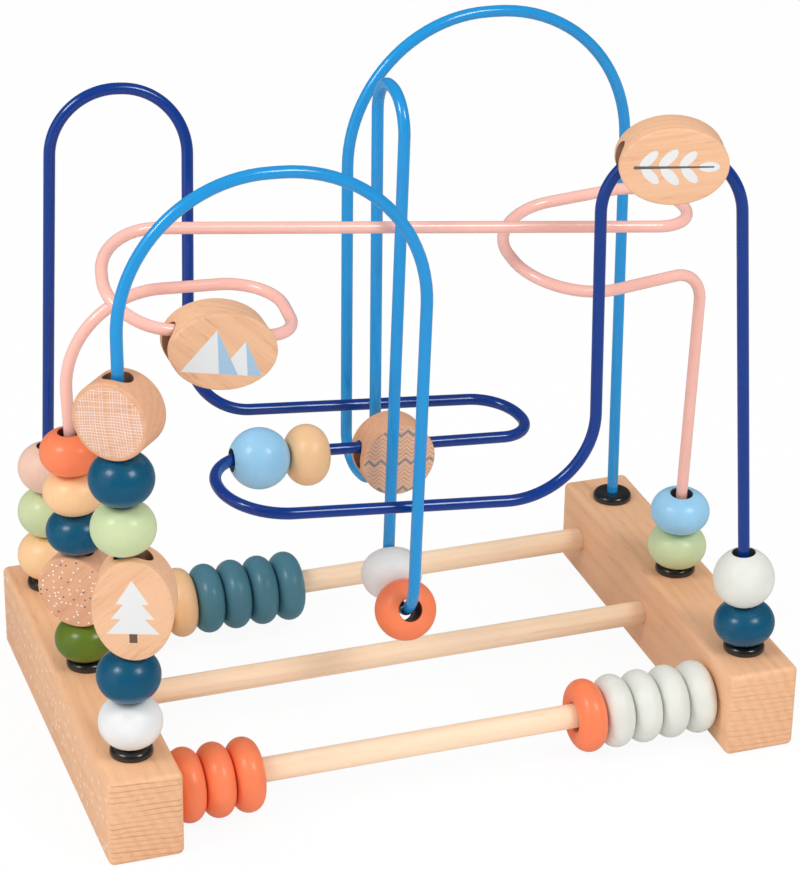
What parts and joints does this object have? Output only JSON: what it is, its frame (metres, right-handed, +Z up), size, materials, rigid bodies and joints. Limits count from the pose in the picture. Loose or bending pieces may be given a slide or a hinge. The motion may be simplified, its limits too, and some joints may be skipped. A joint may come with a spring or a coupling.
{
  "type": "bead maze",
  "caption": "Wooden bead maze: a two-beam base with cross rods, bent coated wires, and painted beads, printed discs and rings that slide along them.",
  "frame": {"origin": "on the floor, under the middle of the base", "axes": "+X to the right, from the beam with the tall stacks to the other beam; +Y to the back; +Z up"},
  "size_m": [0.2906, 0.182, 0.2765],
  "materials": {
    "beam_wood": "satin clear lacquer over beech",
    "rod_wood": "smooth bare wood",
    "disc_wood": "smooth bare wood with a print",
    "light_blue_coat": "gloss coating",
    "dark_blue_coat": "gloss coating",
    "pink_coat": "gloss coating",
    "black_plastic": "gloss",
    "white_paint": "gloss paint",
    "teal_paint": "gloss paint",
    "light_green_paint": "gloss paint",
    "olive_paint": "gloss paint",
    "orange_paint": "gloss paint",
    "peach_paint": "gloss paint",
    "grey_paint": "satin paint",
    "sky_paint": "gloss paint",
    "slate_paint": "satin paint",
    "natural_wood": "clear lacquer"
  },
  "bodies": {
    "frame": {"left_beam": "beam_wood", "right_beam": "beam_wood", "front_rod": "rod_wood", "middle_rod": "rod_wood", "back_rod": "rod_wood", "light_blue_wire": "light_blue_coat", "dark_blue_wire": "dark_blue_coat", "pink_wire": "pink_coat", "front_left_collar": "black_plastic", "middle_left_collar": "black_plastic", "back_left_collar": "black_plastic", "front_right_collar": "black_plastic", "middle_right_collar": "black_plastic", "back_right_collar": "black_plastic"},
    "front_left_white_bead": {"front_left_white_bead": "white_paint"},
    "front_left_lower_teal_bead": {"front_left_lower_teal_bead": "teal_paint"},
    "front_left_oval_disc": {"front_left_oval_disc": "disc_wood"},
    "front_left_green_bead": {"front_left_green_bead": "light_green_paint"},
    "front_left_upper_teal_bead": {"front_left_upper_teal_bead": "teal_paint"},
    "crosshatch_disc": {"crosshatch_disc": "disc_wood"},
    "middle_left_olive_bead": {"middle_left_olive_bead": "olive_paint"},
    "dotted_disc": {"dotted_disc": "disc_wood"},
    "middle_left_teal_bead": {"middle_left_teal_bead": "teal_paint"},
    "middle_left_natural_bead": {"middle_left_natural_bead": "natural_wood"},
    "middle_left_orange_bead": {"middle_left_orange_bead": "orange_paint"},
    "back_left_natural_bead": {"back_left_natural_bead": "natural_wood"},
    "back_left_green_bead": {"back_left_green_bead": "light_green_paint"},
    "back_left_peach_bead": {"back_left_peach_bead": "peach_paint"},
    "middle_right_green_bead": {"middle_right_green_bead": "light_green_paint"},
    "middle_right_sky_bead": {"middle_right_sky_bead": "sky_paint"},
    "front_right_teal_bead": {"front_right_teal_bead": "teal_paint"},
    "front_right_ball_bead": {"front_right_ball_bead": "grey_paint"},
    "loop_sky_bead": {"loop_sky_bead": "sky_paint"},
    "loop_natural_bead": {"loop_natural_bead": "natural_wood"},
    "zigzag_disc": {"zigzag_disc": "disc_wood"},
    "loop_oval_disc": {"loop_oval_disc": "disc_wood"},
    "arch_oval_disc": {"arch_oval_disc": "disc_wood"},
    "dip_orange_bead": {"dip_orange_bead": "orange_paint"},
    "dip_white_bead": {"dip_white_bead": "white_paint"},
    "orange_ring_1": {"orange_ring_1": "orange_paint"},
    "orange_ring_2": {"orange_ring_2": "orange_paint"},
    "orange_ring_3": {"orange_ring_3": "orange_paint"},
    "grey_ring_1": {"grey_ring_1": "grey_paint"},
    "grey_ring_2": {"grey_ring_2": "grey_paint"},
    "grey_ring_3": {"grey_ring_3": "grey_paint"},
    "grey_ring_4": {"grey_ring_4": "grey_paint"},
    "orange_ring_4": {"orange_ring_4": "orange_paint"},
    "natural_ring_1": {"natural_ring_1": "natural_wood"},
    "natural_ring_2": {"natural_ring_2": "natural_wood"},
    "natural_ring_3": {"natural_ring_3": "natural_wood"},
    "natural_ring_4": {"natural_ring_4": "natural_wood"},
    "slate_ring_1": {"slate_ring_1": "slate_paint"},
    "slate_ring_2": {"slate_ring_2": "slate_paint"},
    "slate_ring_3": {"slate_ring_3": "slate_paint"},
    "slate_ring_4": {"slate_ring_4": "slate_paint"}
  },
  "joints": [
    {"name": "front_left_white_bead_slide", "type": "slide", "parent": "frame", "child": "front_left_white_bead", "axis": [0, 0.0245, 0.9997], "range_m": [0, 0.002]},
    {"name": "front_left_lower_teal_bead_slide", "type": "slide", "parent": "front_left_white_bead", "child": "front_left_lower_teal_bead", "axis": [0, 0.0245, 0.9997], "range_m": [0, 0.002]},
    {"name": "front_left_oval_disc_slide", "type": "slide", "parent": "front_left_lower_teal_bead", "child": "front_left_oval_disc", "axis": [0, 0.0245, 0.9997], "range_m": [0, 0.002]},
    {"name": "front_left_green_bead_slide", "type": "slide", "parent": "front_left_oval_disc", "child": "front_left_green_bead", "axis": [0, 0.0245, 0.9997], "range_m": [0, 0.002]},
    {"name": "front_left_upper_teal_bead_slide", "type": "slide", "parent": "front_left_green_bead", "child": "front_left_upper_teal_bead", "axis": [0, 0.0245, 0.9997], "range_m": [0, 0.002]},
    {"name": "crosshatch_disc_slide", "type": "slide", "parent": "front_left_upper_teal_bead", "child": "crosshatch_disc", "axis": [0, 0.0245, 0.9997], "range_m": [0, 0.004]},
    {"name": "middle_left_olive_bead_slide", "type": "slide", "parent": "frame", "child": "middle_left_olive_bead", "axis": [-0.0328, 0.0222, 0.9992], "range_m": [0, 0.003]},
    {"name": "dotted_disc_slide", "type": "slide", "parent": "middle_left_olive_bead", "child": "dotted_disc", "axis": [-0.0328, 0.0222, 0.9992], "range_m": [0, 0.003]},
    {"name": "middle_left_teal_bead_slide", "type": "slide", "parent": "dotted_disc", "child": "middle_left_teal_bead", "axis": [-0.0328, 0.0222, 0.9992], "range_m": [0, 0.003]},
    {"name": "middle_left_natural_bead_slide", "type": "slide", "parent": "middle_left_teal_bead", "child": "middle_left_natural_bead", "axis": [-0.0328, 0.0222, 0.9992], "range_m": [0, 0.003]},
    {"name": "middle_left_orange_bead_slide", "type": "slide", "parent": "middle_left_natural_bead", "child": "middle_left_orange_bead", "axis": [-0.0328, 0.0222, 0.9992], "range_m": [0, 0.004]},
    {"name": "back_left_natural_bead_slide", "type": "slide", "parent": "frame", "child": "back_left_natural_bead", "axis": [0.045, 0.0098, 0.9989], "range_m": [0, 0.04]},
    {"name": "back_left_green_bead_slide", "type": "slide", "parent": "back_left_natural_bead", "child": "back_left_green_bead", "axis": [0.045, 0.0098, 0.9989], "range_m": [0, 0.04]},
    {"name": "back_left_peach_bead_slide", "type": "slide", "parent": "back_left_green_bead", "child": "back_left_peach_bead", "axis": [0.045, 0.0098, 0.9989], "range_m": [0, 0.04]},
    {"name": "middle_right_green_bead_slide", "type": "slide", "parent": "frame", "child": "middle_right_green_bead", "axis": [-0.0046, -0.0745, 0.9972], "range_m": [0, 0.045]},
    {"name": "middle_right_sky_bead_slide", "type": "slide", "parent": "middle_right_green_bead", "child": "middle_right_sky_bead", "axis": [-0.0046, -0.0745, 0.9972], "range_m": [0, 0.045]},
    {"name": "front_right_teal_bead_slide", "type": "slide", "parent": "frame", "child": "front_right_teal_bead", "axis": [-0.0566, 0.0327, 0.9979], "range_m": [0, 0.07]},
    {"name": "front_right_ball_bead_slide", "type": "slide", "parent": "front_right_teal_bead", "child": "front_right_ball_bead", "axis": [-0.0566, 0.0327, 0.9979], "range_m": [0, 0.07]},
    {"name": "loop_sky_bead_slide", "type": "slide", "parent": "frame", "child": "loop_sky_bead", "axis": [0.9972, 0, -0.0745], "range_m": [0, 0.004]},
    {"name": "loop_natural_bead_slide", "type": "slide", "parent": "loop_sky_bead", "child": "loop_natural_bead", "axis": [0.9972, 0, -0.0745], "range_m": [0, 0.004]},
    {"name": "zigzag_disc_slide", "type": "slide", "parent": "frame", "child": "zigzag_disc", "axis": [0.9972, 0, -0.0745], "range_m": [-0.001, 0.03]},
    {"name": "loop_oval_disc_slide", "type": "slide", "parent": "frame", "child": "loop_oval_disc", "axis": [-0.9815, 0.0185, 0.1905], "range_m": [-0.0005, 0.004]},
    {"name": "arch_oval_disc_swing", "type": "hinge", "parent": "frame", "child": "arch_oval_disc", "pos_m": [0.09137, -0.05606, 0.2272], "axis": [-0.2625, -0.9649, 0], "range_deg": [-25, 25]},
    {"name": "dip_orange_bead_swing", "type": "hinge", "parent": "frame", "child": "dip_orange_bead", "pos_m": [-0.00694, -0.0309, 0.08333], "axis": [0.9968, -0.0785, -0.0126], "range_deg": [-28, 0]},
    {"name": "dip_white_bead_swing", "type": "hinge", "parent": "frame", "child": "dip_white_bead", "pos_m": [-0.00677, -0.02998, 0.07793], "axis": [0.9966, -0.0795, -0.022], "range_deg": [0, 12]},
    {"name": "orange_ring_1_slide", "type": "slide", "parent": "frame", "child": "orange_ring_1", "axis": [1, 0, 0], "range_m": [0, 0.02]},
    {"name": "orange_ring_2_slide", "type": "slide", "parent": "orange_ring_1", "child": "orange_ring_2", "axis": [1, 0, 0], "range_m": [0, 0.02]},
    {"name": "orange_ring_3_slide", "type": "slide", "parent": "orange_ring_2", "child": "orange_ring_3", "axis": [1, 0, 0], "range_m": [0, 0.02]},
    {"name": "grey_ring_1_slide", "type": "slide", "parent": "frame", "child": "grey_ring_1", "axis": [-1, 0, 0], "range_m": [0, 0.013]},
    {"name": "grey_ring_2_slide", "type": "slide", "parent": "grey_ring_1", "child": "grey_ring_2", "axis": [-1, 0, 0], "range_m": [0, 0.013]},
    {"name": "grey_ring_3_slide", "type": "slide", "parent": "grey_ring_2", "child": "grey_ring_3", "axis": [-1, 0, 0], "range_m": [0, 0.013]},
    {"name": "grey_ring_4_slide", "type": "slide", "parent": "grey_ring_3", "child": "grey_ring_4", "axis": [-1, 0, 0], "range_m": [0, 0.013]},
    {"name": "orange_ring_4_slide", "type": "slide", "parent": "grey_ring_4", "child": "orange_ring_4", "axis": [-1, 0, 0], "range_m": [0, 0.013]},
    {"name": "natural_ring_1_slide", "type": "slide", "parent": "frame", "child": "natural_ring_1", "axis": [1, 0, 0], "range_m": [0, 0.0155]},
    {"name": "natural_ring_2_slide", "type": "slide", "parent": "natural_ring_1", "child": "natural_ring_2", "axis": [1, 0, 0], "range_m": [0, 0.0155]},
    {"name": "natural_ring_3_slide", "type": "slide", "parent": "natural_ring_2", "child": "natural_ring_3", "axis": [1, 0, 0], "range_m": [0, 0.0155]},
    {"name": "natural_ring_4_slide", "type": "slide", "parent": "natural_ring_3", "child": "natural_ring_4", "axis": [1, 0, 0], "range_m": [0, 0.0155]},
    {"name": "slate_ring_1_slide", "type": "slide", "parent": "natural_ring_4", "child": "slate_ring_1", "axis": [1, 0, 0], "range_m": [0, 0.0155]},
    {"name": "slate_ring_2_slide", "type": "slide", "parent": "slate_ring_1", "child": "slate_ring_2", "axis": [1, 0, 0], "range_m": [0, 0.0155]},
    {"name": "slate_ring_3_slide", "type": "slide", "parent": "slate_ring_2", "child": "slate_ring_3", "axis": [1, 0, 0], "range_m": [0, 0.0155]},
    {"name": "slate_ring_4_slide", "type": "slide", "parent": "slate_ring_3", "child": "slate_ring_4", "axis": [1, 0, 0], "range_m": [0, 0.0155]}
  ]
}
